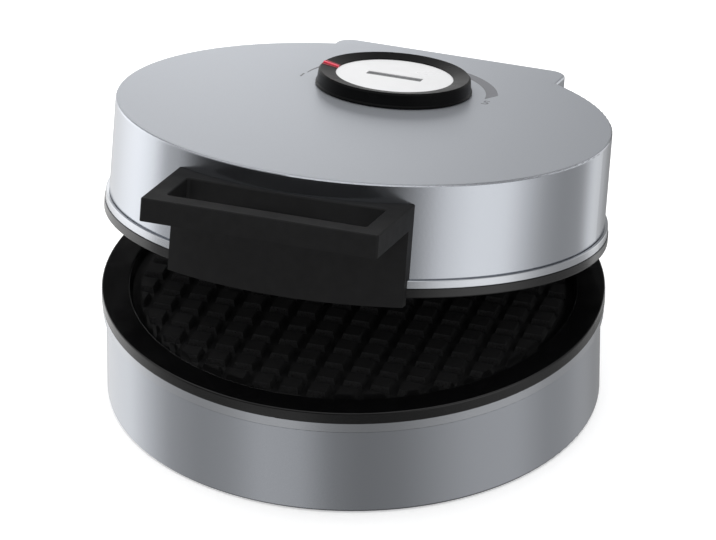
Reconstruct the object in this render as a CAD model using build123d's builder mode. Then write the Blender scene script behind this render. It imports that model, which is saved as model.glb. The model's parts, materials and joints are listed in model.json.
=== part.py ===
from build123d import *
import os
from math import cos, radians, sin, sqrt

# Electric krumkake iron: a round base and a round hinged lid, each with a cast baking plate.
# Millimetres, +Z up, the handle points to -Y and the hinge is at +Y. Pieces are drawn about the
# axis of the round plates, those of the lid closed. They are then moved so that the lid stands
# ajar and the origin is on the bench, under the middle of the whole length.

os.makedirs("parts", exist_ok=True)

# ---------------------------------------------------------------- driving dimensions
# Round housing
rim_r = 112.0               # outer radius of both plate rims
wall_in = 1.9               # how far the housing walls stand inside the rims
trim_in = 0.4               # how far the trim rings stand inside the rims
skin = 2.5                  # wall of the moulded housings
foot_lift = 0.7             # how far the feet stand out of the base
base_wall_h = 41.25
base_trim_h = 5.0
lower_rim_h = 5.25
closed_gap = 0.3            # between the two rims when the lid is shut
upper_rim_h = 4.2
lid_trim_h = 3.8
groove_h = 0.45             # shadow groove between lid trim and lid wall
groove_in = 1.2             # how deep the groove lies inside the wall
lid_wall_h = 42.35
trim_round = 0.4            # rounding of the trim rings' edges
top_round = 0.9             # rounding of the lid's top edge
bottom_round = 1.0          # rounding of the base's bottom edge
body_gap = 0.4              # clearance round what another body carries
middle_y = 7.8              # middle of the whole length, lid ajar
seat_gap = 0.2              # clearance between pieces of one body
register_t = 2.2            # wall of the registers that centre the trim rings
register_h = 3.8            # how far a register reaches into its housing wall
snap_bead = 0.6             # snap bead round a register
snap_h = 1.6

# Baking plates
plate_t = 3.5
flange_t = 3.0
flange_w = 12.2             # width of the flat flange
flange_draft = 1.6          # slope of the step inside the flange
pan_depth = 4.0             # baking floor below the flange
field_margin = 5.3          # plain floor between the flange and the patterned field
stud_h = 3.0
stud_pitch = 12.6
groove_top_w = 5.0
groove_bottom_w = 3.2
rim_wall = 3.5
rim_round = 0.8
post_inset = 28.0           # screw posts, counted inwards from the rim
post_count = 4
post_r = 5.0
plate_screw_d = 4.0

# Heating elements and shields
sheath_r = 3.3
element_inset = 42.0        # middle of the element, counted inwards from the rim
channel_h = 3.7             # ring on the back of a plate that holds the element
channel_wall = 3.4
element_gap_angle = 34.0    # opening between the two ends of the element
element_bend_r = 8.0
cold_end = 12.0
tab_w = 6.3
tab_t = 0.8
tab_l = 8.0
clamp_count = 3
clamp_w = 12.0
clamp_t = 1.2
clamp_screw_inset = 12.0    # strap screws, counted inwards from the element
clamp_boss_r = 4.0
clamp_screw_d = 3.5
shield_t = 0.6
shield_inset = 19.0
shield_rim_h = 6.0
shield_drop = 21.3          # plate face to the near side of the shield

# Hinge
hinge_out = 9.2             # hinge axis behind the rims
lid_rest_angle = 13.9       # the lid stands ajar at rest
block_half_w = 54.4         # half width of the rear block
block_behind = 20.8         # rear face of the block behind the hinge axis
block_corner_r = 8.0
hood_step = 9.0             # the hood's top below the lid's top
hood_round = 1.2
tail_drop = 21.4            # top of the low rear housing below the plate's face
shelf_setback = 2.3         # rear face of the knuckles' shelf in front of the hinge axis
knuckle_r = 6.0
knuckle_gap = 0.5
base_knuckle_in = 34.0
base_knuckle_out = 46.0
lid_knuckle_in = 20.0
pin_d = 4.0
pin_fit = 0.06              # radial play of the pins in the knuckles
pin_head_r = 3.75
pin_head_t = 1.5

# Handle
handle_half_w = 53.6
handle_reach = 34.8         # front of the handle before the apron
handle_drop = 8.5           # the handle's top below the lid's top
handle_bar_h = 10.4
handle_bar_w = 10.4
handle_arm_w = 8.6
finger_inset = 4.5          # corners of the finger opening's rear edge inside the apron's face
finger_bow = 1.8
handle_corner_r = 1.5
finger_corner_r = 1.5
apron_stand = 3.0           # the middle of the apron's face outside the rims
apron_end_stand = 4.3       # the same at its two ends
apron_hang = 2.4            # how far the apron hangs below the lower plate's face
handle_round = 0.7
handle_screw_inset = 15.5   # screws, counted inwards from the handle's sides
handle_screw_d = 4.0
handle_pad_r = 5.5
handle_pad_h = 1.5

# Thermostat knob, heights counted from the lid's top
knob_y = 44.2
knob_lift = 0.4
knob_flange_r = 35.1
knob_flange_h = 1.2
knob_side_r = 34.6
knob_top_r = 34.1
knob_h = 7.0
knob_eye_r = 26.4           # radius of the light insert
knob_dish = 1.6             # how deep the insert lies below the ring's edge
knob_bevel = 0.8
insert_t = 1.2
knob_skin = 1.8
marker_l = 25.2
marker_w = 4.7
marker_sink = 0.4
pointer_arc = 12.0
pointer_t = 0.5
pointer_stand = 0.1
pointer_rib_arc = 2.4
pointer_rib_h = 0.4
knob_rest_angle = 180.0     # pointer direction at the lowest setting
hub_r = 6.0
spindle_r = 3.0
spindle_flat = 1.2          # depth of the flat that the knob drives
spindle_play = 0.08

# Thermostat and what it hangs on
thermostat_w = 34.0
thermostat_d = 20.0
thermostat_h = 11.0
bush_r = 6.5
bush_h = 5.0
bracket_half_w = 31.0
bracket_d = 16.0
bracket_t = 1.2
bracket_boss_x = 26.0
bracket_boss_r = 4.5
bracket_boss_h = 5.0
small_screw_d = 3.0

# Thermal fuse
fuse_x = -34.0
fuse_r = 2.2
fuse_l = 13.0
fuse_lead_r = 0.5
fuse_lead_l = 8.0
fuse_boss_x = -23.0
fuse_clip_w = 9.0
fuse_clip_t = 0.8

# Base fittings
foot_r = 8.0
foot_t = 2.2
front_foot_inset = 25.5
front_foot_angle = 33.7
rear_foot_x = 40.0
rear_foot_inset = 16.0
inlet_z = 16.0
inlet_hole_r = 6.0
inlet_flange_r = 8.5
inlet_flange_t = 1.5
inlet_bore_r = 4.0
cord_clamp_inset = 22.0
cord_clamp_x = 11.0
cord_clamp_d = 9.0
cord_clamp_t = 3.0
cord_post_r = 4.2
terminal_y = 40.0
terminal_block_w = 36.0
terminal_block_d = 16.0
terminal_block_h = 13.0
terminal_ways = 3
vent_x = 45.0
vent_l = 30.0
vent_w = 3.0
vent_pitch = 8.0
vent_count = 5

# Fasteners
head_r_factor = 0.95        # head radius as a share of the screw's diameter
head_h_factor = 0.55
screw_fit = 0.06
screw_bite = 12.0           # how deep the long screws reach into the lower plate's posts
counterbore_z = 16.0        # ledge of the sunk screw heads above the underside

# ---------------------------------------------------------------- sizes worked out from them
wall_r = rim_r - wall_in
trim_r = rim_r - trim_in
apron_r = rim_r + apron_stand
hinge_y = rim_r + hinge_out
shelf_rear_y = hinge_y - shelf_setback
block_rear_y = hinge_y + block_behind
base_trim_z = foot_lift + base_wall_h
lower_rim_z = base_trim_z + base_trim_h
parting_z = lower_rim_z + lower_rim_h
upper_face_z = parting_z + closed_gap
lid_trim_z = upper_face_z + upper_rim_h
lid_groove_z = lid_trim_z + lid_trim_h
lid_wall_z = lid_groove_z + groove_h
lid_top_z = lid_wall_z + lid_wall_h
hood_top_z = lid_top_z - hood_step
tail_top_z = parting_z - tail_drop
hinge_z = parting_z + closed_gap / 2
on_bench = Pos(0, -middle_y, 0)
lid_swing = Pos(0, hinge_y, hinge_z) * Rot(-lid_rest_angle, 0, 0) * Pos(0, -hinge_y, -hinge_z)
lid_open = on_bench * lid_swing
knob_axis = Axis((0, knob_y, 0), (0, 0, 1))

wall_in_r = wall_r - skin
clear_r = rim_r + body_gap            # swept round the rims by what stands beside them
register_r = wall_in_r - seat_gap     # outer radius of the registers
bed_r = rim_r - rim_wall - seat_gap   # outer radius of what reaches up inside a plate's rim
flange_in_r = rim_r - flange_w
field_r = flange_in_r - field_margin
post_circle_r = rim_r - post_inset
element_r = rim_r - element_inset
clamp_screw_circle_r = element_r - clamp_screw_inset
shield_r = rim_r - shield_inset
pan_back = pan_depth + plate_t        # plate face to plate back
element_drop = pan_back + channel_h
clamp_drop = element_drop + sheath_r  # plate face to the straps
upper_post_h = lid_wall_z - upper_face_z
frame_flange_t = register_t
lower_shield_z = parting_z - shield_drop
upper_shield_z = upper_face_z + shield_drop
shelf_top_z = parting_z - seat_gap
hood_bottom_z = upper_face_z + seat_gap
lid_knuckle_out = base_knuckle_in - knuckle_gap
pocket_r = knuckle_r + knuckle_gap
spindle_hole_r = spindle_r + 1.0
handle_front_y = -apron_r - handle_reach
handle_top_z = lid_top_z - handle_drop
apron_end_y = -sqrt((rim_r + apron_end_stand) ** 2 - handle_half_w**2)
handle_back_y = finger_inset - apron_r
handle_screw_x = handle_half_w - handle_screw_inset
handle_root_y = skin - sqrt(wall_r**2 - handle_half_w**2)
handle_pad_y = handle_pad_h - sqrt(wall_in_r**2 - (handle_screw_x + handle_pad_r) ** 2)
apron_bottom_z = parting_z - apron_hang
cord_clamp_y = block_rear_y - cord_clamp_inset
fuse_seat_z = upper_face_z + pan_back
fuse_top_z = fuse_seat_z + 2 * fuse_r

lower_face = Plane.XY.offset(parting_z)
upper_face = Plane(origin=(0, 0, upper_face_z), x_dir=(1, 0, 0), z_dir=(0, 0, -1))


def section_plane(face):
    """The plane through the round axis, x outwards and y along the face's normal."""
    return Plane(origin=face.origin, x_dir=face.x_dir, z_dir=-face.y_dir)


def snap_profile(radius, low_z):
    """The three points of a snap bead, or of its groove, half way up a register."""
    middle_z = low_z + register_h / 2
    return [
        (radius, middle_z - snap_h / 2),
        (radius + snap_bead, middle_z),
        (radius, middle_z + snap_h / 2),
    ]


def outer_rims(ring):
    """The two circular edges of a ring's outer face."""
    return ring.edges().filter_by(GeomType.CIRCLE).group_by(SortBy.RADIUS)[-1]


def polar_point(radius, angle):
    return (radius * cos(radians(angle)), radius * sin(radians(angle)))


post_points = [polar_point(post_circle_r, 45 + 360 / post_count * i) for i in range(post_count)]
clamp_angles = [90 + 360 / clamp_count * (i + 0.5) for i in range(clamp_count)]
clamp_points = [polar_point(clamp_screw_circle_r, angle) for angle in clamp_angles]
cord_clamp_points = [(-cord_clamp_x, cord_clamp_y), (cord_clamp_x, cord_clamp_y)]
foot_points = [
    polar_point(rim_r - front_foot_inset, -front_foot_angle),
    polar_point(rim_r - front_foot_inset, 180 + front_foot_angle),
    (-rear_foot_x, block_rear_y - rear_foot_inset),
    (rear_foot_x, block_rear_y - rear_foot_inset),
]
half_gap = element_gap_angle / 2
element_ends = [(90 + half_gap, -1), (90 - half_gap, 1)]    # angle, and which way it runs on


def past_end(end, run):
    """A point past an end of the element's ring, along the ring's tangent there."""
    angle, turn = end
    x, y = polar_point(element_r, angle)
    step_x, step_y = polar_point(run * turn, angle + 90)
    return (x + step_x, y + step_y)


leg_points = [past_end(end, element_bend_r) for end in element_ends]


def screw_set(seat, points, diameter, length):
    """Pan head screws: the heads stand on the seat plane, the shanks run down its normal."""
    with BuildPart() as screws:
        with BuildSketch(seat):
            with Locations(*points):
                Circle(diameter / 2)
        extrude(amount=-length)
        with BuildSketch(seat):
            with Locations(*points):
                Circle(diameter * head_r_factor)
        extrude(amount=diameter * head_h_factor)
        rims = screws.edges().filter_by(GeomType.CIRCLE).group_by(Axis(seat.origin, seat.z_dir))[-1]
        fillet(rims, diameter * head_h_factor * 0.4)
    return screws


# ---------------------------------------------------------------- baking plates
def stud_field(face):
    """Field of square studs, left standing by two crossing sets of tapered grooves."""
    lines = int(field_r / stud_pitch) + 1
    places = [stud_pitch * (i + 0.5) for i in range(-lines, lines)]
    across = section_plane(face)
    along = Plane(origin=face.origin, x_dir=face.y_dir, z_dir=face.x_dir)
    overrun = 0.5
    slope = (groove_top_w - groove_bottom_w) / 2 / stud_h
    half_top = groove_top_w / 2 + slope * overrun
    half_bottom = groove_bottom_w / 2 - slope * overrun
    low = -pan_depth - overrun
    high = stud_h - pan_depth + overrun
    with BuildPart() as field:
        with BuildSketch(face.offset(low)):
            Circle(field_r)
        extrude(amount=overrun + stud_h)
        for plane in (across, along):
            with BuildSketch(plane):
                for place in places:
                    with BuildLine():
                        Polyline(
                            (place - half_bottom, low),
                            (place + half_bottom, low),
                            (place + half_top, high),
                            (place - half_top, high),
                            close=True,
                        )
                    make_face()
            extrude(amount=rim_r, both=True, mode=Mode.SUBTRACT)
    return field.part


def baking_plate(face, rim_h, post_h):
    """Cast plate: rim, flange, sunk floor with studs, element channel, posts and clamp bosses."""
    studs = stud_field(face)
    normal = Axis(face.origin, face.z_dir)
    channel_in = element_r - sheath_r - channel_wall
    channel_out = element_r + sheath_r + channel_wall
    floor_left = 1.2
    with BuildPart() as plate:
        with BuildSketch(section_plane(face)):
            with BuildLine():
                Polyline(
                    (0, -pan_depth),
                    (flange_in_r - flange_draft, -pan_depth),
                    (flange_in_r, 0),
                    (rim_r, 0),
                    (rim_r, -rim_h),
                    (rim_r - rim_wall, -rim_h),
                    (rim_r - rim_wall, -flange_t),
                    (flange_in_r + plate_t, -flange_t),
                    (flange_in_r - flange_draft, -pan_back),
                    (channel_out, -pan_back),
                    (channel_out, -element_drop),
                    (channel_in, -element_drop),
                    (channel_in, -pan_back),
                    (0, -pan_back),
                    close=True,
                )
            make_face()
            with Locations((element_r, -element_drop)):
                Circle(sheath_r + screw_fit, mode=Mode.SUBTRACT)
        revolve(axis=normal)
        with BuildSketch(face.offset(-element_drop)):
            with Locations((0, element_r)):
                Rectangle(2 * element_r * sin(radians(half_gap)) + sheath_r, 4 * channel_wall + 2 * sheath_r)
        extrude(amount=channel_h, mode=Mode.SUBTRACT)
        face_rims = plate.edges().filter_by(GeomType.CIRCLE).group_by(normal)[-1]
        fillet(face_rims, rim_round)
        with BuildSketch(face.offset(-pan_back)):
            with Locations(*post_points):
                Circle(post_r)
        extrude(amount=-(post_h - pan_back))
        with BuildSketch(face.offset(-pan_back)):
            with Locations(*clamp_points):
                Circle(clamp_boss_r)
        extrude(amount=-(clamp_drop - pan_back))
        with BuildSketch(face.offset(-post_h)):
            with Locations(*post_points):
                Circle(plate_screw_d / 2 + screw_fit)
        extrude(amount=post_h - pan_depth - floor_left, mode=Mode.SUBTRACT)
        with BuildSketch(face.offset(-clamp_drop)):
            with Locations(*clamp_points):
                Circle(clamp_screw_d / 2 + screw_fit)
        extrude(amount=clamp_drop - pan_depth - floor_left, mode=Mode.SUBTRACT)
        add(studs)
    return plate


def heating_element(face):
    """Tubular element: an open ring whose two ends turn away from the plate, with flat tabs."""
    level = face.offset(-element_drop)
    half_bend = radians(45)
    with BuildPart() as element:
        with BuildLine(level) as path:
            CenterArc((0, 0), element_r, 90 + half_gap, 360 - element_gap_angle)
            for end, leg in zip(element_ends, leg_points):
                middle = past_end(end, element_bend_r * sin(half_bend))
                ThreePointArc(
                    (*past_end(end, 0), 0),
                    (*middle, element_bend_r * (cos(half_bend) - 1)),
                    (*leg, -element_bend_r),
                )
                Line((*leg, -element_bend_r), (*leg, -element_bend_r - cold_end))
        wire = path.wire()
        with BuildSketch(Plane(origin=wire @ 0, z_dir=wire % 0)):
            Circle(sheath_r)
        sweep(path=wire)
        with BuildSketch(level.offset(-element_bend_r - cold_end)):
            with Locations(*leg_points):
                Rectangle(tab_w, tab_t)
        extrude(amount=-tab_l)
    return element


def element_clamps(face):
    """Sheet straps across the element, each held by one screw beside it."""
    inner = clamp_screw_circle_r - clamp_boss_r - 0.5
    outer = element_r + sheath_r
    with BuildPart() as clamps:
        with BuildSketch(face.offset(-clamp_drop)):
            for angle in clamp_angles:
                with Locations(Rotation(0, 0, angle)):
                    with Locations(((inner + outer) / 2, 0)):
                        RectangleRounded(outer - inner, clamp_w, 2)
            with Locations(*clamp_points):
                Circle(clamp_screw_d / 2 + screw_fit, mode=Mode.SUBTRACT)
        extrude(amount=-clamp_t)
    return clamps


def heat_shield(face):
    """Shallow sheet pan behind the element, with holes for the screws and the element's ends."""
    with BuildPart() as shield:
        with BuildSketch(section_plane(face)):
            with BuildLine():
                Polyline(
                    (0, -shield_drop),
                    (shield_r - shield_t, -shield_drop),
                    (shield_r - shield_t, shield_rim_h - shield_drop),
                    (shield_r, shield_rim_h - shield_drop),
                    (shield_r, -shield_drop - shield_t),
                    (0, -shield_drop - shield_t),
                    close=True,
                )
            make_face()
        revolve(axis=Axis(face.origin, face.z_dir))
        with BuildSketch(face.offset(-shield_drop)):
            with Locations(*post_points):
                Circle(plate_screw_d / 2 + 2 * screw_fit)
            with Locations(*leg_points):
                Circle(sheath_r + 1.2)
        extrude(amount=-shield_t, mode=Mode.SUBTRACT)
    return shield


def strap_screws(face):
    """Screws that hold the straps to the bosses of a plate."""
    back = Plane(origin=face.offset(-clamp_drop - clamp_t).origin, x_dir=face.x_dir, z_dir=-face.z_dir)
    points = [(x, -y) for x, y in clamp_points]
    return screw_set(back, points, clamp_screw_d, clamp_t + clamp_drop - pan_back)


lower_plate = baking_plate(lower_face, lower_rim_h, shield_drop)
lower_plate.part.label = "lower_plate"
lower_plate.part.move(on_bench)
export_step(lower_plate.part, "parts/lower_plate.step")

lower_element = heating_element(lower_face)
lower_element.part.label = "lower_heating_element"
lower_element.part.move(on_bench)
export_step(lower_element.part, "parts/lower_heating_element.step")

lower_clamps = element_clamps(lower_face)
lower_clamps.part.label = "lower_element_clamps"
lower_clamps.part.move(on_bench)
export_step(lower_clamps.part, "parts/lower_element_clamps.step")

lower_clamp_screws = strap_screws(lower_face)
lower_clamp_screws.part.label = "lower_clamp_screws"
lower_clamp_screws.part.move(on_bench)
export_step(lower_clamp_screws.part, "parts/lower_clamp_screws.step")

lower_shield = heat_shield(lower_face)
lower_shield.part.label = "lower_heat_shield"
lower_shield.part.move(on_bench)
export_step(lower_shield.part, "parts/lower_heat_shield.step")


# ---------------------------------------------------------------- base housing
def rear_outline(rear_y, half_w, corner_r):
    """Rectangle from the middle of the iron to its rear, with rounded rear corners."""
    with Locations((0, rear_y / 2)):
        outline = Rectangle(2 * half_w, rear_y)
    fillet(outline.vertices().group_by(Axis.Y)[-1], corner_r)


def knuckle_pair(inner_x, outer_x, radius, mode=Mode.ADD):
    """Two cylinders on the hinge axis, one each side of the middle."""
    for side in (-1, 1):
        with BuildSketch(Plane.YZ.offset(side * inner_x)) as section:
            with Locations((hinge_y, hinge_z)):
                Circle(radius)
        extrude(section.sketch, amount=side * (outer_x - inner_x), mode=mode)


with BuildPart() as base_shell:
    with BuildSketch(Plane.XY.offset(foot_lift)):
        Circle(wall_r)
    extrude(amount=base_wall_h)
    with BuildSketch(Plane.XY.offset(foot_lift)):
        rear_outline(block_rear_y, block_half_w, block_corner_r)
    extrude(amount=tail_top_z - foot_lift)
    tail_top = base_shell.faces().filter_by(Axis.Z).sort_by(lambda f: abs(f.center().Z - tail_top_z))[0]
    fillet(tail_top.edges().filter_by(lambda e: e.center().Y > shelf_rear_y), hood_round)
    fillet(base_shell.edges().group_by(Axis.Z)[0], bottom_round)
    with BuildSketch(Plane.XY.offset(tail_top_z - hood_round)):
        rear_outline(shelf_rear_y, block_half_w, 1.0)
    extrude(amount=shelf_top_z - tail_top_z + hood_round)
    knuckle_pair(base_knuckle_in, base_knuckle_out, knuckle_r)
    for side in (-1, 1):
        with BuildSketch(Plane.YZ.offset(side * base_knuckle_in)):
            with BuildLine():
                Polyline(
                    (shelf_rear_y - 1, tail_top_z + knuckle_r),
                    (shelf_rear_y, tail_top_z + knuckle_r),
                    (hinge_y - body_gap / 2, hinge_z - 2 * knuckle_r),
                    (hinge_y - body_gap / 2, hinge_z),
                    (shelf_rear_y - 1, hinge_z),
                    close=True,
                )
            make_face()
        extrude(amount=side * (base_knuckle_out - base_knuckle_in))
    # hollow inside
    with BuildSketch(Plane.XZ):
        with BuildLine():
            Polyline(
                (0, foot_lift + skin),
                (wall_in_r, foot_lift + skin),
                *snap_profile(wall_in_r, base_trim_z - register_h),
                (wall_in_r, base_trim_z),
                (clear_r, base_trim_z),
                (clear_r, shelf_top_z + knuckle_r),
                (0, shelf_top_z + knuckle_r),
                close=True,
            )
        make_face()
    revolve(axis=Axis.Z, mode=Mode.SUBTRACT)
    with BuildSketch(Plane.XY.offset(foot_lift + skin)):
        rear_outline(block_rear_y - skin, block_half_w - skin, block_corner_r - skin)
    extrude(amount=tail_top_z - foot_lift - 2 * skin, mode=Mode.SUBTRACT)
    with BuildSketch(Plane.XY.offset(foot_lift + skin)):
        rear_outline(shelf_rear_y - skin, block_half_w - skin, 1.0)
    extrude(amount=base_wall_h - 2 * skin, mode=Mode.SUBTRACT)
    knuckle_pair(lid_knuckle_in - knuckle_gap, base_knuckle_in, pocket_r, Mode.SUBTRACT)
    knuckle_pair(base_knuckle_in, base_knuckle_out, pin_d / 2 + pin_fit, Mode.SUBTRACT)
    head_end = base_knuckle_out + pin_head_t + knuckle_gap
    knuckle_pair(base_knuckle_out, head_end, pin_head_r + body_gap, Mode.SUBTRACT)
    # screw bosses, open from below
    with BuildSketch(Plane.XY.offset(foot_lift + skin)):
        with Locations(*post_points):
            Circle(post_r + 1)
    extrude(amount=lower_shield_z - shield_t - foot_lift - skin)
    with BuildSketch(Plane.XY.offset(foot_lift)):
        with Locations(*post_points):
            Circle(plate_screw_d * head_r_factor + body_gap)
    extrude(amount=counterbore_z, mode=Mode.SUBTRACT)
    with BuildSketch(Plane.XY.offset(foot_lift + counterbore_z)):
        with Locations(*post_points):
            Circle(plate_screw_d / 2 + 2 * screw_fit)
    extrude(amount=lower_shield_z - foot_lift - counterbore_z, mode=Mode.SUBTRACT)
    # posts of the cord clamp and pads of the terminal block
    with BuildSketch(Plane.XY.offset(foot_lift + skin)):
        with Locations(*cord_clamp_points):
            Circle(cord_post_r)
    extrude(amount=inlet_z - foot_lift - skin)
    with BuildSketch(Plane.XY.offset(inlet_z)):
        with Locations(*cord_clamp_points):
            Circle(small_screw_d / 2 + screw_fit)
    extrude(amount=-(inlet_z - foot_lift - skin), mode=Mode.SUBTRACT)
    # floor: vents, foot recesses, inlet
    with BuildSketch(Plane.XY.offset(foot_lift)):
        with GridLocations(2 * vent_x, vent_pitch, 2, vent_count):
            SlotOverall(vent_l, vent_w)
    extrude(amount=skin, mode=Mode.SUBTRACT)
    with BuildSketch(Plane.XY.offset(foot_lift)):
        with Locations(*foot_points):
            Circle(foot_r + seat_gap)
    extrude(amount=foot_t - foot_lift, mode=Mode.SUBTRACT)
    with BuildSketch(Plane.XZ.offset(-block_rear_y)):
        with Locations((0, inlet_z)):
            Circle(inlet_hole_r + seat_gap)
    extrude(amount=skin, mode=Mode.SUBTRACT)
base_shell.part.label = "base_shell"
base_shell.part.move(on_bench)
export_step(base_shell.part, "parts/base_shell.step")

with BuildPart() as base_trim:
    with BuildSketch(Plane.XZ):
        with BuildLine():
            Polyline(
                (register_r, base_trim_z),
                (trim_r, base_trim_z),
                (trim_r, lower_rim_z),
                (bed_r, lower_rim_z),
                (bed_r, parting_z - flange_t - seat_gap),
                (register_r - register_t, parting_z - flange_t - seat_gap),
                (register_r - register_t, base_trim_z - register_h),
                (register_r, base_trim_z - register_h),
                *snap_profile(register_r, base_trim_z - register_h),
                close=True,
            )
        make_face()
    revolve(axis=Axis.Z)
    fillet(outer_rims(base_trim), trim_round)
base_trim.part.label = "base_trim_ring"
base_trim.part.move(on_bench)
export_step(base_trim.part, "parts/base_trim_ring.step")

with BuildPart() as rubber_feet:
    with BuildSketch(Plane.XY):
        with Locations(*foot_points):
            Circle(foot_r)
    extrude(amount=foot_t)
    chamfer(rubber_feet.edges().group_by(Axis.Z)[0], 0.6)
rubber_feet.part.label = "rubber_feet"
rubber_feet.part.move(on_bench)
export_step(rubber_feet.part, "parts/rubber_feet.step")

ledge = Plane(origin=(0, 0, foot_lift + counterbore_z), x_dir=(1, 0, 0), z_dir=(0, 0, -1))
lower_screw_points = [(x, -y) for x, y in post_points]
lower_screw_l = lower_shield_z - foot_lift - counterbore_z + screw_bite
lower_plate_screws = screw_set(ledge, lower_screw_points, plate_screw_d, lower_screw_l)
lower_plate_screws.part.label = "lower_plate_screws"
lower_plate_screws.part.move(on_bench)
export_step(lower_plate_screws.part, "parts/lower_plate_screws.step")

with BuildPart() as hinge_pins:
    knuckle_pair(lid_knuckle_in + 1, base_knuckle_out, pin_d / 2)
    knuckle_pair(base_knuckle_out, base_knuckle_out + pin_head_t, pin_head_r)
hinge_pins.part.label = "hinge_pins"
hinge_pins.part.move(on_bench)
export_step(hinge_pins.part, "parts/hinge_pins.step")

with BuildPart() as inlet_bush:
    with BuildSketch(Plane.XZ.offset(-block_rear_y)):
        with Locations((0, inlet_z)):
            Circle(inlet_hole_r)
    extrude(amount=2 * skin)
    with BuildSketch(Plane.XZ.offset(-block_rear_y)):
        with Locations((0, inlet_z)):
            Circle(inlet_flange_r)
    extrude(amount=-inlet_flange_t)
    fillet(inlet_bush.edges().filter_by(GeomType.CIRCLE).group_by(Axis.Y)[-1], inlet_flange_t / 2)
    with BuildSketch(Plane.XZ.offset(-block_rear_y - inlet_flange_t)):
        with Locations((0, inlet_z)):
            Circle(inlet_bore_r)
    extrude(amount=inlet_flange_t + 2 * skin, mode=Mode.SUBTRACT)
inlet_bush.part.label = "cord_inlet_bush"
inlet_bush.part.move(on_bench)
export_step(inlet_bush.part, "parts/cord_inlet_bush.step")

with BuildPart() as cord_clamp:
    with BuildSketch(Plane.XY.offset(inlet_z)):
        with Locations((0, cord_clamp_y)):
            RectangleRounded(2 * (cord_clamp_x + cord_post_r), cord_clamp_d, cord_clamp_d / 2 - 0.1)
        with Locations(*cord_clamp_points):
            Circle(small_screw_d / 2 + screw_fit, mode=Mode.SUBTRACT)
    extrude(amount=cord_clamp_t)
cord_clamp.part.label = "cord_clamp"
cord_clamp.part.move(on_bench)
export_step(cord_clamp.part, "parts/cord_clamp.step")

cord_clamp_screws = screw_set(
    Plane.XY.offset(inlet_z + cord_clamp_t),
    cord_clamp_points,
    small_screw_d,
    cord_clamp_t + inlet_z / 2,
)
cord_clamp_screws.part.label = "cord_clamp_screws"
cord_clamp_screws.part.move(on_bench)
export_step(cord_clamp_screws.part, "parts/cord_clamp_screws.step")

with BuildPart() as terminal_block:
    with BuildSketch(Plane.XY.offset(foot_lift + skin)):
        with Locations((0, terminal_y)):
            RectangleRounded(terminal_block_w, terminal_block_d, 2)
    extrude(amount=terminal_block_h)
    with BuildSketch(Plane.XY.offset(foot_lift + skin + terminal_block_h)):
        with Locations((0, terminal_y)):
            with GridLocations(terminal_block_w / terminal_ways, 1, terminal_ways, 1):
                Circle(2.2)
    extrude(amount=-terminal_block_h / 2, mode=Mode.SUBTRACT)
terminal_block.part.label = "terminal_block"
terminal_block.part.move(on_bench)
export_step(terminal_block.part, "parts/terminal_block.step")

# ---------------------------------------------------------------- lid housing, drawn closed
handle_screw_z = handle_top_z - handle_bar_h / 2
handle_screw_points = [(-handle_screw_x, handle_screw_z), (handle_screw_x, handle_screw_z)]

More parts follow.
